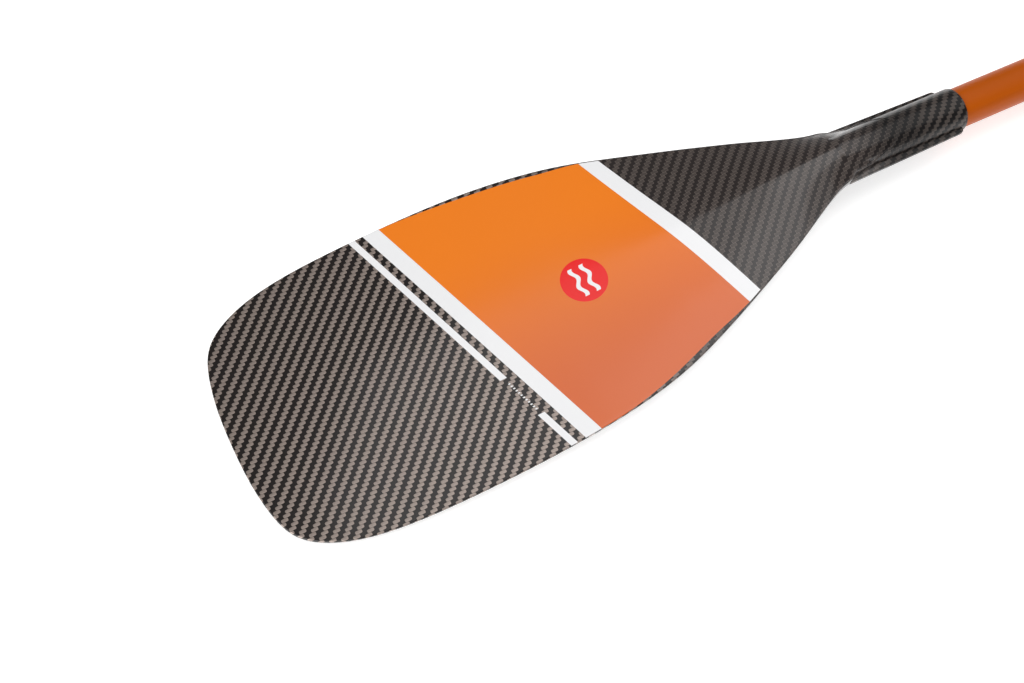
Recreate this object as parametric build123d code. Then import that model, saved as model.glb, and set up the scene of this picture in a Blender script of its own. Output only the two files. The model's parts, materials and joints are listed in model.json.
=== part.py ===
from build123d import *
import math
import os

# Adjustable single blade paddle, millimetres.
# Working frame ("shaft frame"): +X along the shaft towards the grip, +Z out of the printed face,
# origin where the shaft's axis crosses the blade's mid-plane.  The last section lays the whole
# paddle down on its tip and its grip, with z = 0 as the surface that it lies on.

# ---------------------------------------------------------------- driving dimensions
# blade
BLADE_LENGTH = 451.0          # from the shaft frame's origin to the tip, along the blade
BLADE_START = 4.0             # the blade's edges end at this distance, at the socket's flanges
BLADE_ANGLE = 5.7             # degrees between the blade and the shaft
EDGE_HALF = 1.3               # half the thickness of the blade's edge
NECK_EDGE_HALF = 1.6          # the same at the neck, where the blade runs into its socket
NECK_LIFT = 4.2               # the edges rise this far over the mid-plane at the neck
NECK_BLEND_LENGTH = 80.0      # the raised edges come down to the mid-plane over this distance
FRONT_CROWN = 1.9             # height of the printed face over the mid-plane, along the centre line
BACK_CROWN = 3.6              # the same on the back
FRONT_SPINE_LENGTH = 225.0    # the ridge on the printed face fades out over this distance
BACK_NECK = 11.0              # depth of the back at the neck, beside the socket's round underside
BACK_SPINE_LENGTH = 155.0     # the swelling of the back fades out over this distance
SCOOP = (50.0, 145.0, 3.1)    # the blade dips from the first distance to the second, by the third
SCOOP_RISE = (150.0, 270.0, 2.4)  # and comes back up by this much beyond it
CROWN_FADE_START = 320.0      # from here to the tip both faces flatten
SKIN = 0.9                    # laminate thickness
GLUE = 0.05                   # glue line between the laminate and the core
CORE_INSET = 5.0              # solid laminate border around the core
CORE_START = 12.0             # and in front of it, next to the socket
WIDEST = 301.0                # where the blade is widest
# half-widths of the blade at distances from the origin towards the tip
OUTLINE = [
    (4, 21.3), (11, 23.0), (21, 26.7), (51, 41.0), (91, 58.4), (131, 74.1), (171, 87.3), (211, 95.0),
    (256, 99.0), (301, 100.0), (346, 99.1), (386, 95.5), (418, 86.5), (438, 72.0), (447, 49.0),
]

# cross-sections that carry the blade's faces, the last two at and beyond the tip
SECTION_STATIONS = (14, 32, 56, 88, 125, 165, 205, 250, 300, 345, 390, 430, 470)
PARTING_STATIONS = (0, 14, 32, 56, 72, 88, 106, 125, 145, 165, 185, 205, 228, 250, 275)

# socket moulded in one with the blade's skins
SOCKET_RADIUS = 16.0
SOCKET_END = 99.4
SOCKET_BORE = 14.6
SHAFT_SEAT = -6.0             # the shaft's end inside the neck
FLANGE_START = -4.0
FLANGE_END = 96.0
FLANGE_HALF_WIDTH = (21.2, 19.2)
FLANGE_HALF_THICKNESS = 1.3
FLANGE_CORNER = 3.0
SPINE_REACH = 150.0           # the socket's round underside carries on this far into the blade
# the printed face runs out over the socket inside this nose: place along the shaft, half-width and
# least height of its edge
NOSE = [
    (-6.0, 20.6, 5.2), (4.8, 18.6, 7.4), (14.5, 16.6, 7.6), (24.4, 14.6, 7.4),
    (34.3, 12.2, 7.2), (39.0, 9.6, 7.2), (42.5, 6.3, 7.2), (45.0, 3.0, 7.2),
]
NOSE_BOTTOM = 1.0             # the nose's sides reach down into the flange
NOSE_LEDGE = 2.4              # and no lower than this ahead of the flange, inside the blade's edge
PROUD = 0.15                  # the nose stands this far over the round socket

# shafts
SHAFT_RADIUS = 14.5
SHAFT_BORE = 13.1
JOINT_X = 400.0               # where the paddle comes apart
RING_WIDTH = 4.0
RING_RADIUS = 15.1
FERRULE_RADIUS = 13.05
FERRULE_BORE = 10.5
FERRULE_REACH = 90.0          # into each shaft
MIDDLE_END = 1074.0
UPPER_RADIUS = 12.8
UPPER_BORE = 11.5
UPPER_START = 560.0
UPPER_END = 1187.0
GROOVE_WIDTH = 3.0            # groove that keeps the grip in line with the blade
GROOVE_DEPTH = 0.6
GROOVE_STOP = 12.0            # the groove ends this far short of the grip
PLUG_LENGTH = 30.0            # foam bung in the lower shaft

# spring button that locks the joint
BUTTON_X = 372.0
BUTTON_RADIUS = 4.0
BUTTON_TOP = 16.0
BUTTON_BASE_RADIUS = 5.4
BUTTON_BASE = (7.2, 8.6)
BUTTON_CROWN = 1.6            # rounding of the button's top
BUTTON_CLEARANCE = 0.15
SPRING_STRIP = 0.6            # thickness of the spring's strip
SPRING_WIDTH = 8.0
SPRING_BEND = 42.0            # from the button to the bend of the V
SPRING_BEND_RADIUS = 3.0
SPRING_FLAT = 7.0             # the flat under the button reaches this far each way
SPRING_LOWER_Z = -8.6

# lever clamp on the middle shaft
CLAMP_START = 1050.0
CLAMP_END = 1100.0
CLAMP_RADIUS = 17.6
CLAMP_CHAMFER = 1.2
LINER_RADIUS = 13.55
LINER_LIP = 1.5               # rim outside the collar, this wide and this much larger
EAR_Y = (12.0, 28.5)
EAR_HALF_HEIGHT = 9.5
EAR_X = (1077.0, 1097.0)
EAR_ROUNDING = 3.0
SLIT = 1.8
SLIT_START = 5.0              # the slit runs outward from this distance off the axis
KEY_CLEARANCE = 0.15
SCREW_Y = 22.5
SCREW_RADIUS = 2.5
SCREW_HEAD_RADIUS = 4.2
SCREW_HEAD_HEIGHT = 4.2
HEX_RADIUS = 2.2
HEX_DEPTH = 2.5
WASHER_RADIUS = 5.2
WASHER_THICKNESS = 1.0
SHOE_THICKNESS = 1.5
SHOE_DEPTH = 12.5
LOBE_RADIUS = 5.5
CAM_OFFSET = 0.8
CAM_PIN_RADIUS = 3.2
CAM_PIN_CHAMFER = 0.4
RUNNING_FIT = 0.05
LEVER_INNER = 18.7
LEVER_OUTER = 22.7
LEVER_ANGLES = (52.0, 188.0)  # the lever wraps the collar between these
LEVER_SIDE_GAP = 0.3
# web between the lever's curved arm and its lobes: places across and up
LEVER_WEB = [(6.0, 21.9), (9.5, 16.6), (14.6, 13.0)]

# grip
GRIP_CENTRE = 1231.0
GRIP_HALF_LENGTH = 20.0       # along the shaft
GRIP_HALF_WIDTH = 55.0
GRIP_HALF_HEIGHT = 17.5
GRIP_DROOP = 9.0              # the ends of the bar sweep back towards the blade
GRIP_TAPER = 0.18             # the bar's ends are this share shorter along the shaft
GRIP_ROUNDING = 0.93          # how far the bar closes in at its ends
PAD_THICKNESS = 2.0
PAD_START = 1233.0
# neck of the grip: place along the shaft, half-width and half-height
GRIP_STEM = [(1187.05, 13.4, 13.4), (1198.0, 13.8, 13.2), (1210.0, 18.5, 13.6), (1224.0, 30.0, 14.5)]
SPIGOT_START = 1142.0
SPIGOT_RADIUS = 11.45
GRIP_SCREW_X = 1166.0
GRIP_SCREW_RADIUS = 1.15
GRIP_SCREW_HOLE = 1.7
GRIP_SCREW_HEAD = 3.0
GLUE_FIT = 0.05               # clearance of parts that are glued or screwed together


# ---------------------------------------------------------------- helpers
def smooth(t):
    """S-curve from 0 to 1."""
    t = min(max(t, 0.0), 1.0)
    return t * t * (3.0 - 2.0 * t)


def rod(radius, start, end):
    """Solid round bar on the shaft's axis."""
    return Pos((start + end) / 2, 0, 0) * Rot(0, 90, 0) * Cylinder(radius, end - start)


def tube(outer, inner, start, end):
    return rod(outer, start, end) - rod(inner, start - 1, end + 1)


def post(radius, x, y, low, high):
    """Solid round bar that stands along Z."""
    return Pos(x, y, (low + high) / 2) * Cylinder(radius, high - low)


def block(x, y, z):
    """Box between pairs of limits."""
    size = Box(x[1] - x[0], y[1] - y[0], z[1] - z[0])
    return Pos((x[0] + x[1]) / 2, (y[0] + y[1]) / 2, (z[0] + z[1]) / 2) * size


def tilt_to_blade(shape):
    """Turns a shape from the blade's own plane into the shaft frame."""
    return Rot(0, -BLADE_ANGLE, 0) * shape


# ---------------------------------------------------------------- blade surfaces
def half_width(distance):
    """Half-width of the blade at a distance from the origin, up to its widest place."""
    for (d0, w0), (d1, w1) in zip(OUTLINE, OUTLINE[1:]):
        if distance <= d1:
            return w0 + (w1 - w0) * (distance - d0) / (d1 - d0)
    return OUTLINE[-1][1]


def scoop(distance):
    """Height of the blade's curved middle surface over its flat mid-plane."""
    dip_start, dip_end, depth = SCOOP
    rise_start, rise_end, rise = SCOOP_RISE
    dip = smooth((distance - dip_start) / (dip_end - dip_start))
    return rise * smooth((distance - rise_start) / (rise_end - rise_start)) - depth * dip


def neck_share(distance):
    """1 at the neck, falling to 0 where the edges are back in the mid-plane."""
    return 1.0 - smooth(distance / NECK_BLEND_LENGTH)


def edge_half(distance):
    return EDGE_HALF + (NECK_EDGE_HALF - EDGE_HALF) * neck_share(distance)


def edge_height(distance):
    """Height of the middle of the blade's edge, where its two laminates meet."""
    return NECK_LIFT * neck_share(distance) + scoop(distance)


def crown(distance, low, neck, spine_length):
    """Height of a face over the middle surface along the centre line."""
    tip_fade = smooth((distance - CROWN_FADE_START) / (BLADE_LENGTH - CROWN_FADE_START))
    flat = low + (EDGE_HALF + 0.1 - low) * tip_fade
    return flat + (neck - flat) * (1.0 - smooth(distance / spine_length))


def ridge(y, width, distance):
    """1 on the centre line and 0 at the edge, with a rounded ridge that widens to the tip."""
    rounding = 10.0 + 60.0 * smooth((distance - 60.0) / 260.0)
    full = math.hypot(width, rounding) - rounding
    return 1.0 - (math.hypot(y, rounding) - rounding) / full


def across(width, overhang):
    """Places across a section: even steps to the edge and level stubs past it, or steps short of it."""
    reach = width + min(overhang, 0.0)
    places = [reach * step / 6.0 for step in range(-6, 7)]
    if overhang > 0.0:
        places = [-width - overhang] + places + [width + overhang]
    return places


def blade_section(distance, inset, overhang):
    """Cross-section of the blade less an inset, reaching past the outline by an overhang."""
    shape_width = half_width(min(distance, WIDEST))
    edge_top = edge_height(distance) + edge_half(distance)
    edge_bottom = edge_height(distance) - edge_half(distance)
    crest = scoop(distance) + crown(distance, FRONT_CROWN, SOCKET_RADIUS, FRONT_SPINE_LENGTH)
    trough = scoop(distance) - crown(distance, BACK_CROWN, BACK_NECK, BACK_SPINE_LENGTH)
    top = []
    bottom = []
    for y in across(shape_width, overhang):
        rise = max(ridge(y, shape_width, distance), 0.0)
        top.append(Vector(-distance, y, edge_top + (crest - edge_top) * rise - inset))
        bottom.append(Vector(-distance, y, edge_bottom + (trough - edge_bottom) * rise + inset))
    rim = [Line(top[-1], bottom[-1]), Line(bottom[0], top[0])]
    return make_face([Spline(*top), rim[0], Spline(*reversed(bottom)), rim[1]])


def blade_slab(start, inset, overhang):
    stations = [start] + [d for d in SECTION_STATIONS if d > start + 5]
    return loft([blade_section(d, inset, overhang) for d in stations])


def outline_prism(start, inset):
    """Upright prism on the blade's outline, less an inset along its edge."""
    mouth = start - 2.0
    right = [(-d, w - inset) for d, w in OUTLINE if d > start + 2.0]
    right.insert(0, (-mouth, half_width(mouth) - inset))
    left = [(x, -y) for x, y in reversed(right)]
    curve = Spline(*right, (inset - BLADE_LENGTH, 0), *left)
    face = make_face([curve, Line(left[-1], right[0])])
    return Pos(0, 0, -30) * extrude(face, 60)


def blade_body(start, surface_inset, border):
    """Solid of the blade's shape: its faces moved in by one inset and its edge by another."""
    return blade_slab(start, surface_inset, 3.5 - border) & outline_prism(start, border)


# ---------------------------------------------------------------- blade and socket pieces
def nose_section(x, width, edge):
    """Closed section of the nose: crowned above, with upright sides and a flat underside."""
    beside = min(width - 1.0, SOCKET_RADIUS - 0.5)
    side = max(edge, math.sqrt(SOCKET_RADIUS ** 2 - beside ** 2) + PROUD)
    upper = []
    for step in range(-6, 7):
        y = width * step / 6.0
        upper.append(Vector(x, y, side + (SOCKET_RADIUS + PROUD - side) * ridge(y, width, 0.0)))
    corners = [Vector(x, width, NOSE_BOTTOM), Vector(x, -width, NOSE_BOTTOM)]
    return make_face([Spline(*upper), Polyline(upper[-1], *corners, upper[0])])


def nose():
    """Run-out of the printed face over the socket."""
    ahead = (NOSE[0][0] - 1.0, FLANGE_START)
    ledge = block(ahead, (-SOCKET_RADIUS * 2, SOCKET_RADIUS * 2), (-5.0, NOSE_LEDGE))
    return loft([nose_section(*place) for place in NOSE]) - ledge


def back_spine(radius, start):
    """Round underside of the socket, carried on along the shaft's axis until the blade swallows it."""
    spine = rod(radius, -SPINE_REACH, start)
    lower_half = block((-SPINE_REACH - 1, start + 1), (-radius, radius), (-radius, 0.0))
    return (spine & lower_half) - printed_side()


def socket_outside():
    barrel = rod(SOCKET_RADIUS, -2.0, SOCKET_END)
    wide, narrow = FLANGE_HALF_WIDTH
    bevel_x = FLANGE_END - FLANGE_CORNER
    bevel_y = narrow - FLANGE_CORNER
    corners = [
        (FLANGE_START, -wide), (bevel_x, -narrow), (FLANGE_END, -bevel_y),
        (FLANGE_END, bevel_y), (bevel_x, narrow), (FLANGE_START, wide),
    ]
    flange_plan = make_face(Polyline(*corners, close=True))
    flange = Pos(0, 0, -FLANGE_HALF_THICKNESS) * extrude(flange_plan, 2 * FLANGE_HALF_THICKNESS)
    return barrel + nose() + flange + back_spine(SOCKET_RADIUS, 0.0)


def printed_side():
    """Everything on the printed side of the parting surface, which follows the middle of the edges."""
    high = 60.0
    far = -BLADE_LENGTH - 20.0
    beyond = 120.0
    parting = [(-d, edge_height(d)) for d in PARTING_STATIONS]
    profile = make_face([
        Spline(*parting),
        Polyline(parting[-1], (far, parting[-1][1]), (far, high), (0, high), parting[0]),
    ])
    upright = Plane(origin=(0, beyond, 0), x_dir=(1, 0, 0), z_dir=(0, -1, 0)) * profile
    blade_side = tilt_to_blade(extrude(upright, 2 * beyond))
    socket_side = block((FLANGE_START, SOCKET_END + 30.0), (-beyond, beyond), (0.0, high))
    return blade_side + socket_side


def blade_filling(start, inset, border):
    """The space inside the skins, which the core fills."""
    plate = tilt_to_blade(blade_body(start, inset, border))
    return plate + back_spine(SOCKET_RADIUS - inset, SHAFT_SEAT - CORE_START + 10.0)


def blade_pieces():
    outside = tilt_to_blade(blade_body(BLADE_START, 0.0, 0.0)) + socket_outside()
    cavity = blade_filling(CORE_START, SKIN, CORE_INSET)
    core = blade_filling(CORE_START + GLUE, SKIN + GLUE, CORE_INSET + GLUE)
    bore = rod(SOCKET_BORE, SHAFT_SEAT, SOCKET_END + 5.0)
    shell = outside - cavity - bore
    return shell & printed_side(), shell - printed_side(), core


# ---------------------------------------------------------------- shafts and joint
def button_hole():
    return post(BUTTON_RADIUS + BUTTON_CLEARANCE, BUTTON_X, 0, BUTTON_BASE[0] - 2.0, BUTTON_TOP + 4.0)


def lower_shaft():
    return tube(SHAFT_RADIUS, SHAFT_BORE, SHAFT_SEAT + 2 * GLUE_FIT, JOINT_X) - button_hole()


def lower_shaft_plug():
    """Foam bung that keeps water out of the shaft."""
    start = SHAFT_SEAT + 2.0
    return rod(SHAFT_BORE - GLUE_FIT, start, start + PLUG_LENGTH)


def joint_ferrule():
    start = JOINT_X - FERRULE_REACH
    end = JOINT_X + RING_WIDTH + FERRULE_REACH
    body = tube(FERRULE_RADIUS, FERRULE_BORE, start, end)
    rims = body.edges().filter_by(GeomType.CIRCLE)
    lead_in = [rim for rim in rims if rim.radius > FERRULE_BORE + 1 and rim.center().X < start + 1]
    return chamfer(lead_in, 1.0) - button_hole()


def joint_ring():
    gap = 0.02
    ring = tube(RING_RADIUS, FERRULE_RADIUS + GLUE_FIT, JOINT_X + gap, JOINT_X + RING_WIDTH - gap)
    outer = [rim for rim in ring.edges().filter_by(GeomType.CIRCLE) if rim.radius > SHAFT_RADIUS]
    return fillet(outer, 0.5)


def push_button():
    """Domed pin with a broad base, pressed out through the ferrule and the shaft."""
    pin = post(BUTTON_RADIUS, BUTTON_X, 0, BUTTON_BASE[0], BUTTON_TOP)
    crown_edge = pin.edges().filter_by(GeomType.CIRCLE).sort_by(Axis.Z)[-1]
    return fillet(crown_edge, BUTTON_CROWN) + post(BUTTON_BASE_RADIUS, BUTTON_X, 0, *BUTTON_BASE)


def button_spring():
    """Strip bent to a V: one leg under the button, the other on the ferrule's far wall."""
    upper = BUTTON_BASE[0] - SPRING_STRIP / 2 - 0.02
    path = FilletPolyline(
        (BUTTON_X - SPRING_FLAT, 0, upper), (BUTTON_X + SPRING_FLAT, 0, upper),
        (BUTTON_X + SPRING_BEND, 0, -0.5),
        (BUTTON_X + 4.0, 0, SPRING_LOWER_Z + SPRING_STRIP), (BUTTON_X - 8.0, 0, SPRING_LOWER_Z),
        radius=SPRING_BEND_RADIUS)
    start = Plane(origin=path @ 0, z_dir=path % 0, x_dir=(0, 1, 0))
    return sweep(start * Rectangle(SPRING_WIDTH, SPRING_STRIP), path=path)


def middle_shaft():
    return tube(SHAFT_RADIUS, SHAFT_BORE, JOINT_X + RING_WIDTH, MIDDLE_END)


def upper_shaft():
    body = tube(UPPER_RADIUS, UPPER_BORE, UPPER_START, UPPER_END)
    half = GROOVE_WIDTH / 2
    floor = GROOVE_DEPTH - UPPER_RADIUS
    groove = block((UPPER_START - 1, UPPER_END - GROOVE_STOP), (-half, half), (-UPPER_RADIUS - 1.0, floor))
    screw_hole = post(GRIP_SCREW_HOLE, GRIP_SCREW_X, 0, -UPPER_RADIUS - 1.2, -10.0)
    return body - groove - screw_hole


def guide_plug():
    """End plug whose rim slides in the middle shaft."""
    rim = rod(SHAFT_BORE - RUNNING_FIT, UPPER_START - 8.0, UPPER_START - 0.02)
    stem = rod(UPPER_BORE - GLUE_FIT, UPPER_START - 4.0, UPPER_START + 22.0)
    relief = rod(UPPER_BORE - 3.5, UPPER_START - 9.0, UPPER_START + 18.0)
    return rim + stem - relief


# ---------------------------------------------------------------- lever clamp
EAR_MIDDLE_X = (EAR_X[0] + EAR_X[1]) / 2
SHOE_TOP = EAR_HALF_HEIGHT + SHOE_THICKNESS
PIVOT_Z = SHOE_TOP + LOBE_RADIUS + CAM_OFFSET + RUNNING_FIT
WASHER_BOTTOM = -EAR_HALF_HEIGHT - WASHER_THICKNESS


def screw_line(radius, low, high):
    """Round bar on the clamp screw's line."""
    return post(radius, EAR_MIDDLE_X, SCREW_Y, low, high)


def cam_bar(radius, length):
    """Round bar on the lever's pivot line."""
    return Pos(EAR_MIDDLE_X, SCREW_Y, PIVOT_Z) * Rot(0, 90, 0) * Cylinder(radius, length)


def slit_block(start, end):
    return block((start, end), (SLIT_START, 40.0), (-SLIT / 2, SLIT / 2))


def clamp_collar():
    barrel = rod(CLAMP_RADIUS, CLAMP_START, CLAMP_END)
    barrel = chamfer(barrel.edges().filter_by(GeomType.CIRCLE), CLAMP_CHAMFER)
    ears = block(EAR_X, EAR_Y, (-EAR_HALF_HEIGHT, EAR_HALF_HEIGHT))
    ears = fillet(ears.edges().filter_by(Axis.X).sort_by(Axis.Y)[-2:], EAR_ROUNDING)
    seat = rod(SHAFT_RADIUS + GLUE_FIT, CLAMP_START - 1, MIDDLE_END + GLUE_FIT)
    bore = rod(LINER_RADIUS + GLUE_FIT, MIDDLE_END - 1, CLAMP_END + 1)
    slit_start = MIDDLE_END + 1.5
    slit = slit_block(slit_start, CLAMP_END + 1)
    cross_cut = block((slit_start - 1.2, slit_start), (SLIT_START + 1.0, 40.0), (-20.0, 20.0))
    hole = screw_line(SCREW_RADIUS + 0.3, -20.0, 20.0)
    return barrel + ears - seat - bore - slit - cross_cut - hole


def clamp_liner():
    """Split bush between the collar and the upper shaft, with a key for the shaft's groove."""
    bore = UPPER_RADIUS + RUNNING_FIT
    bush = tube(LINER_RADIUS, bore, MIDDLE_END + 0.6, CLAMP_END + LINER_LIP)
    lip = tube(LINER_RADIUS + LINER_LIP, bore, CLAMP_END + GLUE_FIT, CLAMP_END + LINER_LIP)
    key_half = GROOVE_WIDTH / 2 - KEY_CLEARANCE
    key_depth = (-UPPER_RADIUS - 0.3, GROOVE_DEPTH - 0.1 - UPPER_RADIUS)
    key = block((MIDDLE_END + 2.0, CLAMP_END), (-key_half, key_half), key_depth)
    return bush + lip - slit_block(MIDDLE_END, CLAMP_END + 2) + key


def lever_profile():
    """Side view of the lever: curved arm, web and eccentric lobe, with axes across and up."""
    band = Circle(LEVER_OUTER) - Circle(LEVER_INNER)
    reach = LEVER_OUTER * 3
    first, last = (math.radians(angle) for angle in LEVER_ANGLES)
    wedge = [(0, 0)]
    for step in range(7):
        angle = first + (last - first) * step / 6
        wedge.append((reach * math.cos(angle), reach * math.sin(angle)))
    lobe_z = PIVOT_Z - CAM_OFFSET
    web = [(SCREW_Y - 0.5, lobe_z + LOBE_RADIUS), *LEVER_WEB]
    web += [(SCREW_Y - 4.2, lobe_z - 3.0), (SCREW_Y, PIVOT_Z)]
    arm = band & make_face(Polyline(*wedge, close=True))
    return arm + Pos(SCREW_Y, lobe_z) * Circle(LOBE_RADIUS) + make_face(Polyline(*web, close=True))


def clamp_lever():
    """Curved lever that wraps the collar, with an eccentric lobe each side of the screw."""
    width = EAR_X[1] - EAR_X[0] - 2 * LEVER_SIDE_GAP
    side = Plane(origin=(EAR_X[0] + LEVER_SIDE_GAP, 0, 0), x_dir=(0, 1, 0), z_dir=(1, 0, 0))
    lever = extrude(side * lever_profile(), width)
    slot_half = SCREW_RADIUS + 0.7
    slot_x = (EAR_MIDDLE_X - slot_half, EAR_MIDDLE_X + slot_half)
    slot = block(slot_x, (SCREW_Y - 3.4, SCREW_Y + 12.0), (0.0, 40.0))
    return lever - cam_bar(CAM_PIN_RADIUS + RUNNING_FIT, width + 4) - slot


def cam_pin():
    pin = cam_bar(CAM_PIN_RADIUS, EAR_X[1] - EAR_X[0] + 1.0)
    pin = chamfer(pin.edges().filter_by(GeomType.CIRCLE), CAM_PIN_CHAMFER)
    return pin - screw_line(SCREW_RADIUS + 0.03, PIVOT_Z - 10, PIVOT_Z + 2.0)


def cam_shoe():
    x = (EAR_X[0] + LEVER_SIDE_GAP, EAR_X[1] - LEVER_SIDE_GAP)
    plate = block(x, (EAR_Y[1] - SHOE_DEPTH, EAR_Y[1]), (EAR_HALF_HEIGHT + 0.02, SHOE_TOP))
    return plate - screw_line(SCREW_RADIUS + 0.3, 0.0, 20.0)


def clamp_washer():
    disc = screw_line(WASHER_RADIUS, WASHER_BOTTOM, -EAR_HALF_HEIGHT - 0.02)
    return disc - screw_line(SCREW_RADIUS + 0.2, -20.0, 0.0)


def clamp_screw():
    """Socket head screw up through the ears into the cam pin."""
    shank = screw_line(SCREW_RADIUS, WASHER_BOTTOM - 1.0, PIVOT_Z + 1.8)
    head = screw_line(SCREW_HEAD_RADIUS, WASHER_BOTTOM - SCREW_HEAD_HEIGHT, WASHER_BOTTOM - 0.02)
    hexagon = extrude(RegularPolygon(HEX_RADIUS, 6), HEX_DEPTH + 0.1)
    return shank + head - Pos(EAR_MIDDLE_X, SCREW_Y, WASHER_BOTTOM - SCREW_HEAD_HEIGHT - 0.1) * hexagon


# ---------------------------------------------------------------- grip
def grip_bar(inset):
    """Palm bar across the end of the shaft, from oval sections that sweep back at its ends."""
    sections = []
    for step in range(-5, 6):
        side = step / 5.0
        fullness = math.sqrt(1.0 - GRIP_ROUNDING * side ** 4)
        height = (GRIP_HALF_HEIGHT - inset) * fullness
        length = (GRIP_HALF_LENGTH - inset) * (1.0 - GRIP_TAPER * side * side) * fullness
        centre = (GRIP_CENTRE - GRIP_DROOP * side * side, (GRIP_HALF_WIDTH - inset) * side, 0)
        sections.append(Plane(origin=centre, x_dir=(1, 0, 0), z_dir=(0, 1, 0)) * Ellipse(length, height))
    return loft(sections)


def grip_stem():
    """Neck of the grip, from the upper shaft's size to the oval of the bar."""
    sections = []
    for x, wide, high in GRIP_STEM:
        plane = Plane(origin=(x, 0, 0), x_dir=(0, 1, 0), z_dir=(1, 0, 0))
        sections.append(plane * Ellipse(wide, high))
    return loft(sections)


def pad_region(start):
    return block((start, GRIP_CENTRE + 60), (-90.0, 90.0), (-40.0, 40.0))


def grip_pad():
    return (grip_bar(0.0) & pad_region(PAD_START)) - grip_bar(PAD_THICKNESS)


def grip_body():
    behind_pad = pad_region(PAD_START - GLUE_FIT)
    shell = grip_bar(0.0) - behind_pad
    inner = grip_bar(PAD_THICKNESS + GLUE_FIT)
    stem = grip_stem() - behind_pad
    spigot = rod(SPIGOT_RADIUS, SPIGOT_START, UPPER_END + 6.0)
    pilot = post(GRIP_SCREW_RADIUS + GLUE_FIT, GRIP_SCREW_X, 0, -13.0, -4.0)
    return shell + inner + stem + spigot - pilot


def grip_screw():
    """Pan head screw that holds the grip's spigot in the upper shaft."""
    head_top = -UPPER_RADIUS - 1.05
    shank = post(GRIP_SCREW_RADIUS, GRIP_SCREW_X, 0, -13.0, -4.5)
    head = post(GRIP_SCREW_HEAD, GRIP_SCREW_X, 0, head_top, head_top + 1.0)
    seat = rod(UPPER_RADIUS + 0.02, SPIGOT_START, UPPER_END)
    slot = block((GRIP_SCREW_X - 2.2, GRIP_SCREW_X + 2.2), (-0.35, 0.35), (head_top - 0.4, head_top + 0.4))
    return shank + (head - seat) - slot


# ---------------------------------------------------------------- laying down and writing
def pieces():
    front, back, core = blade_pieces()
    return {
        "blade_front_skin": front,
        "blade_back_skin": back,
        "blade_core": core,
        "lower_shaft": lower_shaft(),
        "lower_shaft_plug": lower_shaft_plug(),
        "joint_ferrule": joint_ferrule(),
        "joint_ring": joint_ring(),
        "button_spring": button_spring(),
        "push_button": push_button(),
        "middle_shaft": middle_shaft(),
        "clamp_collar": clamp_collar(),
        "clamp_liner": clamp_liner(),
        "clamp_lever": clamp_lever(),
        "cam_pin": cam_pin(),
        "cam_shoe": cam_shoe(),
        "clamp_screw": clamp_screw(),
        "clamp_washer": clamp_washer(),
        "upper_shaft": upper_shaft(),
        "guide_plug": guide_plug(),
        "grip_body": grip_body(),
        "grip_pad": grip_pad(),
        "grip_screw": grip_screw(),
    }


# the paddle lies on the lower edge of its tip and on its grip
TIP_X = -BLADE_LENGTH * math.cos(math.radians(BLADE_ANGLE))
TIP_DROP = BLADE_LENGTH * math.sin(math.radians(BLADE_ANGLE)) + EDGE_HALF - scoop(BLADE_LENGTH)
REST_TILT = math.degrees(math.atan2(TIP_DROP - GRIP_HALF_HEIGHT, GRIP_CENTRE - TIP_X))


def lay_down(shapes):
    """Tilts everything about Y, then centres it over the origin with its lowest point at z = 0."""
    turned = {name: Rot(0, REST_TILT, 0) * shape for name, shape in shapes.items()}
    boxes = [shape.bounding_box() for shape in turned.values()]
    low_x = min(box.min.X for box in boxes)
    high_x = max(box.max.X for box in boxes)
    low_z = min(box.min.Z for box in boxes)
    shift = Pos(-(low_x + high_x) / 2, 0, -low_z)
    print("rest tilt", REST_TILT, "shift", -(low_x + high_x) / 2, -low_z)
    print("length", high_x - low_x)
    return {name: shift * shape for name, shape in turned.items()}


def main():
    os.makedirs("parts", exist_ok=True)
    for name, shape in lay_down(pieces()).items():
        export_step(shape, f"parts/{name}.step")


main()
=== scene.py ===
import json
import math

import bmesh
import bpy
import numpy as np
from mathutils import Matrix, Vector


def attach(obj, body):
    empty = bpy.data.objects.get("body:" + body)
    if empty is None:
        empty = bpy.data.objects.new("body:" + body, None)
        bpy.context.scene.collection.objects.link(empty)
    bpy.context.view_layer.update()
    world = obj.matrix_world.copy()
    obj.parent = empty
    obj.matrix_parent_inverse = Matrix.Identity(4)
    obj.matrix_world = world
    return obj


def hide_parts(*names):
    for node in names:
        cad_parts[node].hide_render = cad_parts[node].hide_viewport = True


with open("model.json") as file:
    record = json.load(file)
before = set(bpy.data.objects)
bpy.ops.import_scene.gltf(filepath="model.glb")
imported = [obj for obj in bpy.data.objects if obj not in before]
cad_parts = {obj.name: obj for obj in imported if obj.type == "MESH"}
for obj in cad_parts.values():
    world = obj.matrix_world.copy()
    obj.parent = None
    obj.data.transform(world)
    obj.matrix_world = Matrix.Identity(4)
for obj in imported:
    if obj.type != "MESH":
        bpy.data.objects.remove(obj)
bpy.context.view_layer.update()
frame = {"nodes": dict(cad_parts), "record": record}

# Adjustable single blade paddle, metres.  Positions are worked out in the shaft frame:
# x along the shaft from the blade's root to the grip, y across, z out of the printed face.

# ---------------------------------------------------------------- place of the shaft
mount = frame["record"]["mounts"][0]
MOUNT_X = 0.700                          # the clip zone's middle, along the shaft
AXIS = Vector(mount["axis"]).normalized()
SIDE = Vector((0.0, 1.0, 0.0))
UP = AXIS.cross(SIDE)
ROOT = Vector(mount["pos_m"]) - AXIS * MOUNT_X

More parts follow.
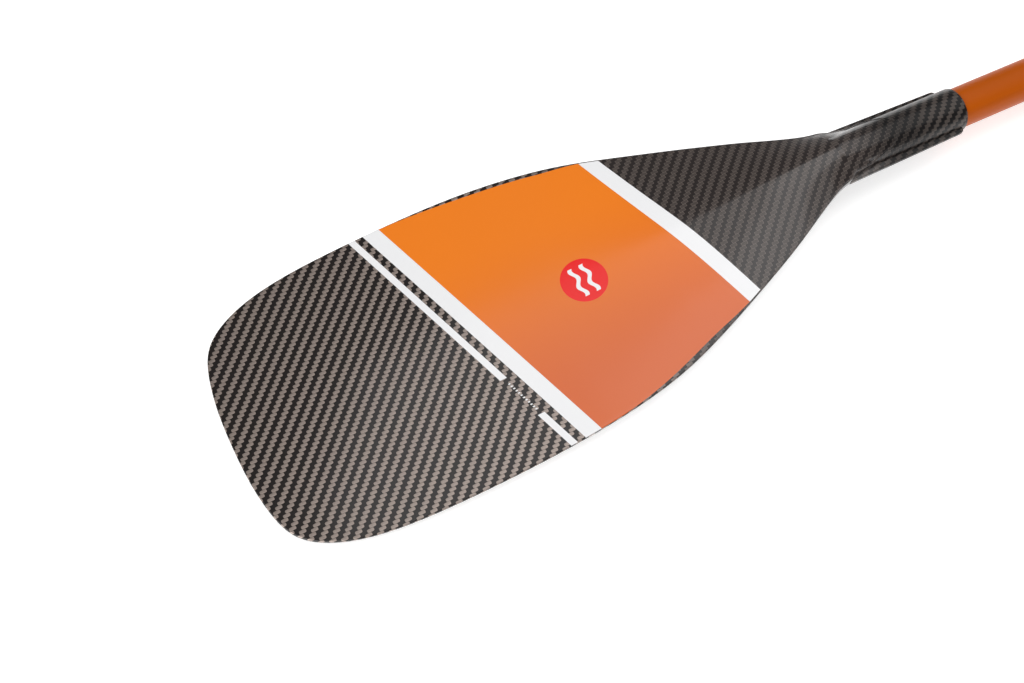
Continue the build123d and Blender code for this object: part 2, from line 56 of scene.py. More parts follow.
# ---------------------------------------------------------------- blade and socket
BLADE_LENGTH = 0.451
BLADE_ANGLE = math.radians(5.7)
EDGE_HALF = 0.0013                       # half the thickness of the blade's edge
NECK_EDGE_HALF = 0.0016
NECK_LIFT = 0.0042                       # the edge climbs to the flanges by this much
NECK_BLEND = 0.080
FRONT_CROWN = 0.0019                     # height of the printed face in the middle, tip half
FRONT_NECK = 0.016                       # and at the neck
FRONT_SPINE = 0.225                      # length of the swelling between the two
BACK_CROWN = 0.0036
BACK_NECK = 0.011
BACK_SPINE = 0.155
CROWN_FADE = 0.320                       # the crown thins out to the tip beyond this
SKIN = 0.0009                            # thickness of one laminate
# the blade dips from the first distance to the second, by the third
SCOOP = (0.050, 0.145, 0.0031)
SCOOP_RISE = (0.150, 0.270, 0.0024)      # and comes back up by this much beyond it
OUTLINE = [
    (0.004, 0.0213), (0.011, 0.0230), (0.021, 0.0267), (0.051, 0.0410), (0.091, 0.0584),
    (0.131, 0.0741), (0.171, 0.0873), (0.211, 0.0950), (0.256, 0.0990), (0.301, 0.1000),
    (0.346, 0.0991), (0.386, 0.0955), (0.418, 0.0865), (0.438, 0.0720), (0.447, 0.0490),
]
WIDEST = 0.301
RIM = 0.0010                             # rounding of the blade's edge, across and down
RIM_DROP = 0.0007
SOCKET_RADIUS = 0.016
SOCKET_BORE = 0.0146
SOCKET_END = 0.0994
NECK_START = 0.004                       # the blade's edges end here, at the flanges
# the printed face runs out over the socket inside this nose: place along the shaft, half-width
NOSE = [
    (-0.0039, 0.0202), (-0.0026, 0.0192), (0.0, 0.0174), (0.0048, 0.0164), (0.0145, 0.0154),
    (0.0244, 0.0136), (0.0343, 0.0112), (0.0390, 0.0086), (0.0425, 0.0053), (0.0450, 0.0020),
]
NOSE_EDGE = 0.0062                       # least height of the nose's edge
NOSE_BLEND = 0.016                       # the nose takes its own shape over this length
NOSE_PROUD = 0.00015                     # the least that it stands over the socket
NOSE_TUBE_REACH = 0.0155                 # the socket is taken as flat-sided beyond this half-width
FLOOR_REACH = 0.0150                     # inside this half-width the nose lies on the socket's wall
FLANGE_START = -0.004
FLANGE_END = 0.096
FLANGE_WIDTH = (0.0212, 0.0192)
FLANGE_HALF = 0.0013
TOW = 0.00233                            # width of one tow of the carbon cloth
MARGIN_LEAST = 0.0003                    # bare carbon between the print and the blade's edge
# along each edge it widens by the first number from the second distance over the third,
# then loses the last share of that from the fourth distance over the fifth
MARGIN_PLUS_Y = (0.0029, 0.312, 0.085, 0.190, 0.035, 0.75)
MARGIN_MINUS_Y = (0.0033, 0.228, 0.075, 0.150, 0.045, 0.80)


def at(x, y, z):
    """Point of the shaft frame, in the frame that the record and the CAD nodes share."""
    return ROOT + AXIS * x + SIDE * y + UP * z


def blade_point(x, y, z):
    """Point given in the blade's own plane, x negative towards the tip."""
    c, s = math.cos(BLADE_ANGLE), math.sin(BLADE_ANGLE)
    return at(x * c - z * s, y, x * s + z * c)


def smooth(t):
    t = min(max(t, 0.0), 1.0)
    return t * t * (3.0 - 2.0 * t)


def soft_max(a, b, blend):
    """The larger of two numbers, with the corner between them rounded."""
    return 0.5 * (a + b + math.hypot(a - b, blend))


def spline_through(points, count):
    """Even samples of the cubic spline through the points."""
    points = np.array(points, float)
    steps = np.linalg.norm(np.diff(points, axis=0), axis=1)
    knots = np.concatenate([[0.0], np.cumsum(steps)])
    size = len(points)
    system = np.eye(size)
    right = np.zeros((size, 2))
    for i in range(1, size - 1):
        system[i, i - 1:i + 2] = steps[i - 1], 2 * (steps[i - 1] + steps[i]), steps[i]
        ahead = (points[i + 1] - points[i]) / steps[i]
        behind = (points[i] - points[i - 1]) / steps[i - 1]
        right[i] = 6 * (ahead - behind)
    bend = np.linalg.solve(system, right)
    where = np.linspace(0.0, knots[-1], count)
    k = np.clip(np.searchsorted(knots, where, side="right") - 1, 0, size - 2)
    h = steps[k][:, None]
    a = (knots[k + 1] - where)[:, None] / h
    b = 1.0 - a
    curve = a * points[k] + b * points[k + 1]
    return curve + ((a ** 3 - a) * bend[k] + (b ** 3 - b) * bend[k + 1]) * h ** 2 / 6


def edge_normals(loop):
    """Outward normals of plan points that run from the neck to the tip on the +y side."""
    along = np.gradient(loop, axis=0)
    along /= np.linalg.norm(along, axis=1)[:, None]
    return np.stack([-along[:, 1], along[:, 0]], axis=1)


mirrored = OUTLINE + [(BLADE_LENGTH, 0.0)] + [(d, -y) for d, y in reversed(OUTLINE)]
EDGE = spline_through(mirrored, 4001)[:2001]
INSET = EDGE - RIM * edge_normals(EDGE)
ROUND_START = 0.300                      # beyond this the rows of the mesh bow out to the tip
TIP_START = 0.414                        # where the outermost points of the last row stop


def edge_at(distance):
    return float(np.interp(distance, EDGE[:, 0], EDGE[:, 1]))


def inset_at(distance):
    return float(np.interp(distance, INSET[:, 0], INSET[:, 1]))


def nose_at(x):
    return float(np.interp(x, NOSE_CURVE[:, 0], NOSE_CURVE[:, 1]))


NOSE_CURVE = spline_through(NOSE, 200)


def neck_share(distance):
    return 1.0 - smooth(distance / NECK_BLEND)


def edge_half(distance):
    return EDGE_HALF + (NECK_EDGE_HALF - EDGE_HALF) * neck_share(distance)


def scoop(distance):
    """Height of the blade's curved middle surface over its flat mid-plane."""
    dip_start, dip_end, depth = SCOOP
    rise_start, rise_end, rise = SCOOP_RISE
    dip = smooth((distance - dip_start) / (dip_end - dip_start))
    return rise * smooth((distance - rise_start) / (rise_end - rise_start)) - depth * dip


def edge_lift(distance):
    """Height of the middle of the blade's edge, where its two laminates meet."""
    return NECK_LIFT * neck_share(distance) + scoop(distance)


def crown(distance, low, neck, spine):
    fade = smooth((distance - CROWN_FADE) / (BLADE_LENGTH - CROWN_FADE))
    flat = low + (EDGE_HALF + 0.0001 - low) * fade
    return flat + (neck - flat) * (1.0 - smooth(distance / spine))


def ridge(y, width, distance):
    rounding = 0.010 + 0.060 * smooth((distance - 0.060) / 0.260)
    full = math.hypot(width, rounding) - rounding
    return 1.0 - (math.hypot(y, rounding) - rounding) / full


def front_height(distance, y):
    """Height of the printed face over the blade's mid-plane."""
    low = edge_lift(distance) + edge_half(distance)
    high = scoop(distance) + crown(distance, FRONT_CROWN, FRONT_NECK, FRONT_SPINE)
    return low + (high - low) * ridge(y, edge_at(min(distance, WIDEST)), distance)


def back_height(distance, y):
    """Height of the back, which is swollen by the round spine that the socket carries on as."""
    high = edge_lift(distance) - edge_half(distance)
    low = scoop(distance) - crown(distance, BACK_CROWN, BACK_NECK, BACK_SPINE)
    face = high + (low - high) * ridge(y, edge_at(min(distance, WIDEST)), distance)
    round_part = math.sqrt(max(SOCKET_RADIUS ** 2 - y * y, 0.0))
    spine = round_part - distance * math.tan(BLADE_ANGLE)
    return -soft_max(-face, spine, 0.0010)


def nose_height(x, y):
    """Height of the printed face where it lies over the socket."""
    width = nose_at(x)
    tube = math.sqrt(SOCKET_RADIUS ** 2 - min(abs(y), NOSE_TUBE_REACH) ** 2)
    edge_tube = math.sqrt(SOCKET_RADIUS ** 2 - min(width, NOSE_TUBE_REACH) ** 2)
    low = max(NOSE_EDGE, edge_tube + NOSE_PROUD)
    own = low + (SOCKET_RADIUS + NOSE_PROUD - low) * ridge(y, width, 0.0)
    share = smooth((x - NOSE[0][0]) / NOSE_BLEND)
    c, s = math.cos(BLADE_ANGLE), math.sin(BLADE_ANGLE)
    blade = front_height(NECK_START, y) * c - NECK_START * s
    face = blade * (1.0 - share) + own * share
    return soft_max(face, tube + 0.5 * NOSE_PROUD, 0.0001)


def weave_sheen_contrast(x):
    """Strength of the painted sheen that sets the cloth's two tow directions apart: least at the neck,
    rising towards the tip and a little towards the socket's end.
    """
    if x < 0.0:
        return 0.12 + 0.88 * smooth((-x - 0.118) / 0.155)
    return 0.10 + 0.24 * smooth((x - 0.045) / 0.035)


# ---------------------------------------------------------------- mesh helpers
class Shell:
    """Mesh under construction, with cloth and plan coordinates at each vertex."""

    def __init__(self):
        self.points = []
        self.cloth = []
        self.plan = []
        self.margin = []
        self.contrast = []
        self.faces = []

    def add(self, point, cloth, plan, margin=1.0):
        self.points.append(point)
        self.cloth.append(cloth)
        self.plan.append(plan)
        self.margin.append(margin)
        self.contrast.append(weave_sheen_contrast(-plan[0]))
        return len(self.points) - 1

    def strip(self, first, second, closed=False):
        """Faces between two equally long lists of vertices."""
        count = len(first)
        for i in range(count if closed else count - 1):
            j = (i + 1) % count
            self.faces.append((first[i], first[j], second[j], second[i]))

    def make(self, name, sharp=30.0):
        mesh = solid_mesh(name, self.points, self.faces)
        order = np.zeros(len(mesh.loops), np.int32)
        mesh.loops.foreach_get("vertex_index", order)
        for layer_name, values in (("Cloth", self.cloth), ("Plan", self.plan)):
            layer = mesh.uv_layers.new(name=layer_name)
            layer.data.foreach_set("uv", np.array(values, np.float32)[order].ravel())
        for attribute_name, values in (("Margin", self.margin), ("Contrast", self.contrast)):
            attribute = mesh.attributes.new(attribute_name, "FLOAT", "POINT")
            attribute.data.foreach_set("value", np.array(values, np.float32))
        return finish_mesh(name, mesh, sharp)


def solid_mesh(name, points, faces):
    """Closed mesh whose faces all look outwards."""
    mesh = bpy.data.meshes.new(name)
    mesh.from_pydata([tuple(p) for p in points], [], faces)
    bm = bmesh.new()
    bm.from_mesh(mesh)
    bmesh.ops.recalc_face_normals(bm, faces=bm.faces[:])
    bm.to_mesh(mesh)
    bm.free()
    return mesh


def finish_mesh(name, mesh, sharp):
    mesh.shade_smooth()
    mesh.set_sharp_from_angle(angle=math.radians(sharp))
    piece = bpy.data.objects.new(name, mesh)
    bpy.context.scene.collection.objects.link(piece)
    return piece


def panel_margin(x, y):
    """Bare carbon left between the printed panel and the blade's edge."""
    widest, start, growth, narrows, fall, loss = MARGIN_PLUS_Y if y > 0 else MARGIN_MINUS_Y
    left = 1.0 - loss * smooth((narrows + x) / fall)
    return MARGIN_LEAST + widest * smooth((start + x) / growth) * left


COLUMNS = 36                             # columns of the blade's mesh on each side of the middle
NOSE_ROWS = 40
TIP_ROWS = 60
RIM_STEPS = 4                            # steps round the edge's rounding


def plan_rows(with_nose):
    """Rows of plan points across the blade, from the neck to the tip."""
    columns = [math.sin(math.pi / 2 * k / COLUMNS) * 0.25 + 0.75 * k / COLUMNS
               for k in range(-COLUMNS, COLUMNS + 1)]
    rows = []
    if with_nose:
        for x in np.linspace(NOSE[-1][0], NOSE[0][0], NOSE_ROWS):
            rows.append([(x, u * nose_at(x), False) for u in columns])
    distances = list(np.linspace(NECK_START, 0.020, 12))
    distances += list(np.linspace(0.0225, ROUND_START, 112))
    for d in distances:
        rows.append([(-d, u * inset_at(d), True) for u in columns])
    last = TIP_START
    end = INSET[-1][0]
    half = inset_at(last)
    tip = INSET[INSET[:, 0] >= last][::-1]
    for a in np.linspace(0.0, 1.0, TIP_ROWS + 1)[1:]:
        a = a ** 0.9
        side_d = ROUND_START + (last - ROUND_START) * a
        middle_d = ROUND_START + (end - ROUND_START) * a
        row = []
        for u in columns:
            bow = (float(np.interp(abs(u) * half, tip[:, 1], tip[:, 0])) - last) / (end - last)
            row.append((-(side_d + (middle_d - side_d) * bow), u * inset_at(side_d), True))
        rows.append(row)
    return rows


def cloth_across(row, height):
    """Length of cloth from the centre line to each point of a row."""
    spots = [(y, height(x, y, flat)) for x, y, flat in row]
    steps = [math.dist(a, b) for a, b in zip(spots, spots[1:])]
    total = np.concatenate([[0.0], np.cumsum(steps)])
    return total - total[len(row) // 2]


def blade_skin(shell, rows, height, floor, sign):
    """One of the blade's two laminates as a closed thin solid: face, rounded rim, joint and inside."""
    outer = []
    inner = []
    lines = []
    for row in rows:
        along = cloth_across(row, height)
        lines.append(along)
        outer_row = []
        inner_row = []
        for (x, y, tilted), v in zip(row, along):
            z = height(x, y, tilted)
            gap = edge_gap(x, y) if tilted else 1.0
            margin = gap - panel_margin(x, y)
            place = blade_point if tilted else at
            outer_row.append(shell.add(place(x, y, z), (x, v), (-x, y), margin))
            inner_row.append(shell.add(place(x, y, z - sign * SKIN), (x, v), (-x, y), margin))
        outer.append(outer_row)
        inner.append(inner_row)
    for a, b in zip(outer, outer[1:]):
        shell.strip(a, b)
    for a, b in zip(inner, inner[1:]):
        shell.strip(a, b)
    last = len(rows) - 1
    width = len(rows[0]) - 1
    border = [(r, width) for r in range(last + 1)]
    border += [(last, c) for c in range(width - 1, 0, -1)]
    border += [(r, 0) for r in range(last, -1, -1)]
    border += [(0, c) for c in range(1, width)]
    flat = np.array([rows[r][c][:2] for r, c in border])
    before = flat - np.roll(flat, 1, axis=0)
    after = np.roll(flat, -1, axis=0) - flat
    along = unit(unit(before) + unit(after))
    out = np.stack([along[:, 1], -along[:, 0]], axis=1)
    rings = [[outer[r][c] for r, c in border]]
    for step in range(1, RIM_STEPS + 2):
        turn = min(step / RIM_STEPS, 1.0) * math.pi / 2
        ring = []
        for (r, c), (x0, y0), n in zip(border, flat, out):
            tilted = rows[r][c][2]
            top = height(x0, y0, tilted)
            low = floor(x0, y0, tilted)
            drop = RIM_DROP * (1 - math.cos(turn))
            z = top - sign * drop
            if step > RIM_STEPS:
                z = low
            reach = RIM * math.sin(turn)
            x = x0 + n[0] * reach
            y = y0 + n[1] * reach
            place = blade_point if tilted else at
            length = reach + abs(top - z)
            cloth = (x0 + n[0] * length, lines[r][c] + n[1] * length)
            margin = RIM - reach - panel_margin(x0, y0)
            ring.append(shell.add(place(x, y, z), cloth, (-x, y), margin))
        rings.append(ring)
    joint = []
    for (r, c), (x0, y0) in zip(border, flat):
        tilted = rows[r][c][2]
        place = blade_point if tilted else at
        z = floor(x0, y0, tilted)
        joint.append(shell.add(place(x0, y0, z), (x0, y0), (-x0, y0), -RIM))
    rings.append(joint)
    rings.append([inner[r][c] for r, c in border])
    for a, b in zip(rings, rings[1:]):
        shell.strip(a, b, closed=True)


def edge_gap(x, y):
    """Distance in plan from a point of the blade to its edge."""
    d = -x
    if d < TIP_START:
        slope = (edge_at(d + 0.001) - edge_at(d - 0.001)) / 0.002
        return (edge_at(d) - abs(y)) / math.sqrt(1.0 + slope * slope)
    return float(np.min(np.hypot(EDGE[:, 0] - d, EDGE[:, 1] - abs(y))))


def front_z(x, y, tilted):
    return front_height(-x, y) if tilted else nose_height(x, y)


def front_floor(x, y, tilted):
    if tilted:
        return edge_lift(-x)
    if abs(y) > FLOOR_REACH:
        return 0.0010
    return math.sqrt(SOCKET_RADIUS ** 2 - y * y) - SKIN


def back_z(x, y, tilted):
    return back_height(-x, y)


def back_floor(x, y, tilted):
    return edge_lift(-x)


def half_tube(shell, sign):
    """Half of the socket's wall, split where the two laminates meet."""
    lip = 0.0004
    chamfer = 0.0003
    start = -0.004
    profile = [(start, SOCKET_RADIUS)]
    profile += [(x, SOCKET_RADIUS) for x in np.linspace(0.0, SOCKET_END - lip, 26)]
    profile += [(SOCKET_END - lip + lip * math.sin(a), SOCKET_RADIUS - lip + lip * math.cos(a))
                for a in (math.pi / 6, math.pi / 3, math.pi / 2)]
    profile += [(SOCKET_END, SOCKET_BORE + chamfer), (SOCKET_END - chamfer, SOCKET_BORE)]
    profile += [(start, SOCKET_BORE)]
    rings = []
    steps = 72
    for k in range(steps + 1):
        turn = math.pi * (k / steps - 0.5)
        ring = []
        for x, r in profile:
            y, z = r * math.sin(turn), sign * r * math.cos(turn)
            cloth = (x + SOCKET_RADIUS - r, SOCKET_RADIUS * turn)
            ring.append(shell.add(at(x, y, z), cloth, (-x, y)))
        rings.append(ring)
    for a, b in zip(rings, rings[1:]):
        shell.strip(a, b, closed=True)
    shell.faces.append(tuple(rings[0]))
    shell.faces.append(tuple(rings[-1]))


def flange_plan(side):
    """Plan of one flange, with a rounded end at the rim and a small round corner at the neck."""
    wide, narrow = FLANGE_WIDTH
    root = 0.0150
    points = [(FLANGE_START + 0.0002, root)]
    r = 0.0015
    for turn in np.linspace(0.0, math.pi / 2, 5):
        points.append((FLANGE_START + r - r * math.cos(turn), wide - r + r * math.sin(turn)))
    for share in np.linspace(0.08, 0.96, 22):
        x = FLANGE_START + (FLANGE_END - FLANGE_START) * share
        points.append((x, wide + (narrow - wide) * share))
    r = 0.0032
    for turn in np.linspace(0.1, math.pi / 2, 7):
        points.append((FLANGE_END - r + r * math.sin(turn), narrow - r + r * math.cos(turn)))
    points.append((FLANGE_END, root))
    return [(x, y * side) for x, y in points]


def unit(vectors):
    return vectors / np.linalg.norm(vectors, axis=1)[:, None]


def flange(shell, side, sign):
    """One laminate's half of a seam flange, with a softened corner."""
    plan = np.array(flange_plan(side))
    after = np.roll(plan, -1, axis=0) - plan
    before = plan - np.roll(plan, 1, axis=0)
    along = unit(unit(after) + unit(before))
    inward = np.stack([along[:, 1], -along[:, 0]], axis=1) * side
    soft = 0.0004
    slope = soft * 0.3
    corner = [(0.0, 0.0), (0.0, FLANGE_HALF - soft), (slope, FLANGE_HALF - slope), (soft, FLANGE_HALF)]
    rings = []
    for inset, z in corner:
        ring = []
        for (x0, y0), n in zip(plan, inward):
            x, y = x0 + n[0] * inset, y0 + n[1] * inset
            across = side * (SOCKET_RADIUS * math.pi / 2 + abs(y) - SOCKET_RADIUS)
            ring.append(shell.add(at(x, y, sign * z), (x, across), (-x, y)))
        rings.append(ring)
    for a, b in zip(rings, rings[1:]):
        shell.strip(a, b, closed=True)
    shell.faces.append(tuple(rings[0]))
    shell.faces.append(tuple(rings[-1]))


def blade_shell(name, with_nose, height, floor, sign):
    shell = Shell()
    blade_skin(shell, plan_rows(with_nose), height, floor, sign)
    half_tube(shell, sign)
    for side in (1, -1):
        flange(shell, side, sign)
    return shell.make(name)


front_shell = blade_shell("blade_front_shell", True, front_z, front_floor, 1)
back_shell = blade_shell("blade_back_shell", False, back_z, back_floor, -1)
for piece, node, slot in ((front_shell, "blade_front_skin", "carbon_printed"),
                          (back_shell, "blade_back_skin", "carbon_plain")):
    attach(piece, "blade_and_shaft")
    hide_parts(node)


# ---------------------------------------------------------------- grip
GRIP_CENTRE = 1.231
GRIP_HALF = (0.0200, 0.0550, 0.0175)     # along the shaft, across it and in height
GRIP_DROOP = 0.009                       # the ends of the bar sweep back towards the blade
GRIP_TAPER = 0.18
GRIP_ROUNDING = 0.93
CAP_START = 1.2332                       # the rubber cap covers the bar beyond this plane
CAP_THICKNESS = 0.0020
RIB_PITCH = 0.0042
RIB_DEPTH = 0.00045
RIB_REACH = 0.036                        # the ribs run this far each side of the middle
# neck of the grip: place along the shaft, half-width and half-height
GRIP_STEM = [
    (1.18705, 0.0126, 0.0126), (1.18740, 0.0133, 0.0133), (1.1900, 0.0136, 0.0134),
    (1.1980, 0.0138, 0.0132), (1.2040, 0.0153, 0.0132), (1.2100, 0.0182, 0.0134),
    (1.2170, 0.0232, 0.0138), (1.2230, 0.0280, 0.0136),
]
GRIP_VOXEL = 0.0009                      # size of the grid that joins the bar and its neck
GRIP_SOFTENING = 8
CAP_GAP = 0.0001                         # between the bar and its cap
CAP_SHARE = 0.905                        # the cap stops at this share of the bar's half-width
CAP_ROLL = 0.0012                        # the cap's edge rounds off over this width


def bar_section(side):
    """Centre, half-length and half-height of the bar at a share of its half-width."""
    fullness = math.sqrt(1.0 - GRIP_ROUNDING * side ** 4)
    along = GRIP_HALF[0] * (1.0 - GRIP_TAPER * side * side) * fullness
    return GRIP_CENTRE - GRIP_DROOP * side * side, along, GRIP_HALF[2] * fullness


def bar_point(side, turn, inset):
    """Point of the bar's section, a given depth under its surface."""
    centre, along, high = bar_section(side)
    return centre + (along - inset) * math.cos(turn), (high - inset) * math.sin(turn)


def lofted(rings, mesh_points, faces):
    """Adds a closed loft through rings of equal count, with flat ends."""
    first = len(mesh_points)
    count = len(rings[0])
    for ring in rings:
        mesh_points.extend(ring)
    for r in range(len(rings) - 1):
        for i in range(count):
            j = (i + 1) % count
            a, b = first + r * count, first + (r + 1) * count
            faces.append((a + i, a + j, b + j, b + i))
    faces.append(tuple(first + i for i in range(count)))
    faces.append(tuple(first + (len(rings) - 1) * count + i for i in range(count)))


def remeshed(name, points, faces, voxel, rounds):
    """One smooth closed skin round several overlapping lofts."""
    mesh = solid_mesh(name + "_lofts", points, faces)
    lofts = bpy.data.objects.new(name + "_lofts", mesh)
    bpy.context.scene.collection.objects.link(lofts)
    remesh = lofts.modifiers.new("remesh", "REMESH")
    remesh.mode = "VOXEL"
    remesh.voxel_size = voxel
    soften = lofts.modifiers.new("soften", "SMOOTH")
    soften.factor = 0.5
    soften.iterations = rounds
    result = bpy.data.meshes.new_from_object(lofts.evaluated_get(bpy.context.evaluated_depsgraph_get()))
    bpy.data.objects.remove(lofts)
    return finish_mesh(name, result, 180.0)


def grip_body():
    """Bar and neck of the grip in one moulding, cut back where the rubber cap goes."""
    points = []
    faces = []
    turns = [2 * math.pi * i / 72 for i in range(72)]
    rings = []
    for step in range(-48, 49):
        side = math.sin(math.pi / 2 * step / 48)
        ring = []
        for turn in turns:
            x, z = bar_point(side, turn, 0.0)
            if x > CAP_START:
                x, z = bar_point(side, turn, CAP_THICKNESS + CAP_GAP)
                x = max(x, CAP_START - CAP_GAP)
            ring.append(at(x, GRIP_HALF[1] * side, z))
        rings.append(ring)
    lofted(rings, points, faces)
    stem = [[at(x, wide * math.cos(turn), high * math.sin(turn)) for turn in turns]
            for x, wide, high in GRIP_STEM]
    lofted(stem, points, faces)
    return remeshed("grip_moulding", points, faces, GRIP_VOXEL, GRIP_SOFTENING)


def rib(y):
    """Depth of the groove between two ribs of the rubber."""
    share = smooth((RIB_REACH - abs(y)) / 0.004)
    wave = 0.5 + 0.5 * math.cos(2 * math.pi * y / RIB_PITCH)
    return RIB_DEPTH * share * wave ** 3


def grip_cap():
    """Ribbed rubber cap on the palm side of the bar."""
    shell = Shell()
    rows = []
    for step in range(-150, 151):
        side = CAP_SHARE * step / 150
        centre, along = bar_section(side)[:2]
        limit = math.acos(min((CAP_START - centre) / along, 0.999))
        y = GRIP_HALF[1] * side
        outer = []
        inner = []
        for k in range(41):
            turn = limit * (k / 20 - 1.0)
            edge = smooth((limit - abs(turn)) * along / CAP_ROLL)
            x, z = bar_point(side, turn, rib(y) * edge + 0.0003 * (1.0 - edge))
            outer.append(shell.add(at(x, y, z), (y, along * turn), (y, x)))
            x, z = bar_point(side, turn, CAP_THICKNESS)
            inner.append(shell.add(at(max(x, CAP_START), y, z), (y, along * turn), (y, x)))
        rows.append(outer + inner[::-1])
    for a, b in zip(rows, rows[1:]):
        shell.strip(a, b, closed=True)
    shell.faces.append(tuple(rows[0]))
    shell.faces.append(tuple(rows[-1]))
    return shell.make("grip_rubber_cap", 50.0)


grip_moulding = grip_body()
grip_rubber_cap = grip_cap()
for piece, node, slot in ((grip_moulding, "grip_body", "grip_plastic"),
                          (grip_rubber_cap, "grip_pad", "grip_rubber")):
    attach(piece, "grip_section")
    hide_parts(node)


# ---------------------------------------------------------------- materials
class Nodes:
    """Short way to write a material's node graph."""

    def __init__(self, name):
        self.material = bpy.data.materials.new(name)
        self.material.use_nodes = True
        self.tree = self.material.node_tree
        self.shader = self.tree.nodes["Principled BSDF"]

    def new(self, kind, **settings):
        node = self.tree.nodes.new(kind)
        for key, value in settings.items():
            setattr(node, key, value)
        return node

    def feed(self, socket, value):
        if isinstance(value, bpy.types.NodeSocket):
            self.tree.links.new(value, socket)
        else:
            socket.default_value = value

    def math(self, operation, *values, clamp=False):
        node = self.new("ShaderNodeMath", operation=operation, use_clamp=clamp)
        for socket, value in zip(node.inputs, values):
            self.feed(socket, value)
        return node.outputs[0]

    def blend(self, share, first, second):
        node = self.new("ShaderNodeMix", data_type="RGBA")
        self.feed(node.inputs[0], share)
        for socket, value in zip(node.inputs[6:8], (first, second)):
            if not isinstance(value, bpy.types.NodeSocket):
                value = (*value, 1.0)
            self.feed(socket, value)
        return node.outputs[2]

    def mix(self, share, first, second):
        node = self.new("ShaderNodeMix", data_type="FLOAT")
        for socket, value in zip(node.inputs[0:1] + node.inputs[2:4], (share, first, second)):
            self.feed(socket, value)
        return node.outputs[0]

    def step(self, value, low, high):
        """0 below low and 1 above high, with a soft edge between them."""
        node = self.new("ShaderNodeMapRange", interpolation_type="SMOOTHSTEP")
        for socket, given in zip(node.inputs, (value, low, high, 0.0, 1.0)):
            self.feed(socket, given)
        return node.outputs[0]

    def uv(self, name):
        node = self.new("ShaderNodeUVMap", uv_map=name)
        split = self.new("ShaderNodeSeparateXYZ")
        self.feed(split.inputs[0], node.outputs[0])
        return split.outputs[0], split.outputs[1]

    def noise(self, vector, scale, detail):
        node = self.new("ShaderNodeTexNoise")
        self.feed(node.inputs["Vector"], vector)
        self.feed(node.inputs["Scale"], scale)
        self.feed(node.inputs["Detail"], detail)
        return node.outputs[0]

    def place(self):
        return self.new("ShaderNodeTexCoord").outputs["Object"]

    def bump(self, height, distance, strength):
        node = self.new("ShaderNodeBump")
        self.feed(node.inputs["Strength"], strength)
        self.feed(node.inputs["Distance"], distance)
        self.feed(node.inputs["Height"], height)
        return node.outputs[0]

    def set(self, **values):
        for name, value in values.items():
            self.feed(self.shader.inputs[name.replace("_", " ")], value)


def twill(n, u, v):
    """Two-by-two twill: 1 on the tows along u, 1 away from a tow's borders, the cloth's height."""
    a = n.math("DIVIDE", u, TOW)
    b = n.math("DIVIDE", v, TOW)
    i = n.math("FLOOR", a)
    j = n.math("FLOOR", b)
    fa = n.math("SUBTRACT", a, i)
    fb = n.math("SUBTRACT", b, j)
    m = n.math("FLOORED_MODULO", n.math("SUBTRACT", i, j), 4.0)
    over = n.math("LESS_THAN", m, 1.5)
    along_u = n.math("MULTIPLY", n.math("ADD", m, fa), 0.5)
    along_v = n.math("MULTIPLY", n.math("ADD", n.math("SUBTRACT", 3.0, m), fb), 0.5)
    along = n.mix(over, along_v, along_u)
    across = n.mix(over, fa, fb)

    def off_centre(value):
        return n.math("ABSOLUTE", n.math("MULTIPLY_ADD", value, 2.0, -1.0))

    ends = n.math("POWER", off_centre(along), 5.0)
    sides = n.math("POWER", off_centre(across), 4.0)
    spread = n.math("ADD", ends, sides)
    crown_height = n.math("SUBTRACT", 1.0, spread, clamp=True)
    body = n.step(spread, 1.15, 0.55)
    return over, body, crown_height


TOW_SHEEN_COLOUR = (0.390, 0.318, 0.280)       # painted sheen of a tow that faces the light
FIBRE_GLOSS = 0.90                       # share of metal-like reflection on such a tow
FIBRE_ROUGHNESS = 0.40
COAT_ROUGHNESS = 0.13
CLOTH_DEPTH = 0.00012                    # depth of the weave


def carbon_colour(n, u, v, strength):
    """Colour, height, share of shining tow and clear coat of the carbon.

    Tows along u get a painted sheen, as if they catch the light, and tows across them stay dark.
    """
    over, body, height = twill(n, u, v)
    contrast = n.new("ShaderNodeAttribute", attribute_name="Contrast").outputs["Fac"]
    where = n.new("ShaderNodeCombineXYZ")
    n.feed(where.inputs[0], u)
    n.feed(where.inputs[1], v)
    filament = n.noise(where.outputs[0], 900.0, 1.0)
    patch = n.noise(where.outputs[0], 45.0, 2.0)
    full = n.math("MULTIPLY", contrast, strength)
    light = n.math("MULTIPLY", n.math("MULTIPLY", over, body), full)
    # painted highlight: where the painted sheen between the tow directions is weak, near the neck, only
    # the ends of the tows shine
    tow_end_highlight = n.math("MULTIPLY", n.step(height, 0.62, 0.36), n.math("SUBTRACT", 1.0, contrast))
    light = n.math("MAXIMUM", light, n.math("MULTIPLY", tow_end_highlight, n.math("MULTIPLY", over, 0.34)))
    light = n.math("MULTIPLY", light, n.math("MULTIPLY_ADD", filament, 0.5, 0.75))
    light = n.math("MULTIPLY", light, n.math("MULTIPLY_ADD", patch, 0.35, 0.82))
    # painted reflection: the ground between the tows is painted lighter where the painted sheen is
    # weak, near the neck
    ground = n.blend(contrast, (0.0185, 0.0135, 0.0125), (0.0065, 0.0036, 0.0028))
    # the cloth wound round the socket is painted darker than the blade's, as painted shade, with a
    # weaker painted sheen on its tows, under a thinner coat
    socket = n.step(n.uv("Plan")[0], -0.004, -0.040)
    ground = n.blend(socket, ground, (0.0044, 0.0036, 0.0036))
    light = n.math("MULTIPLY", light, n.mix(socket, 1.0, 0.52))
    # painted sheen: light tows laid over the dark ground
    colour = n.blend(light, ground, TOW_SHEEN_COLOUR)
    coat = n.mix(socket, 1.0, 0.32)
    return colour, height, light, coat


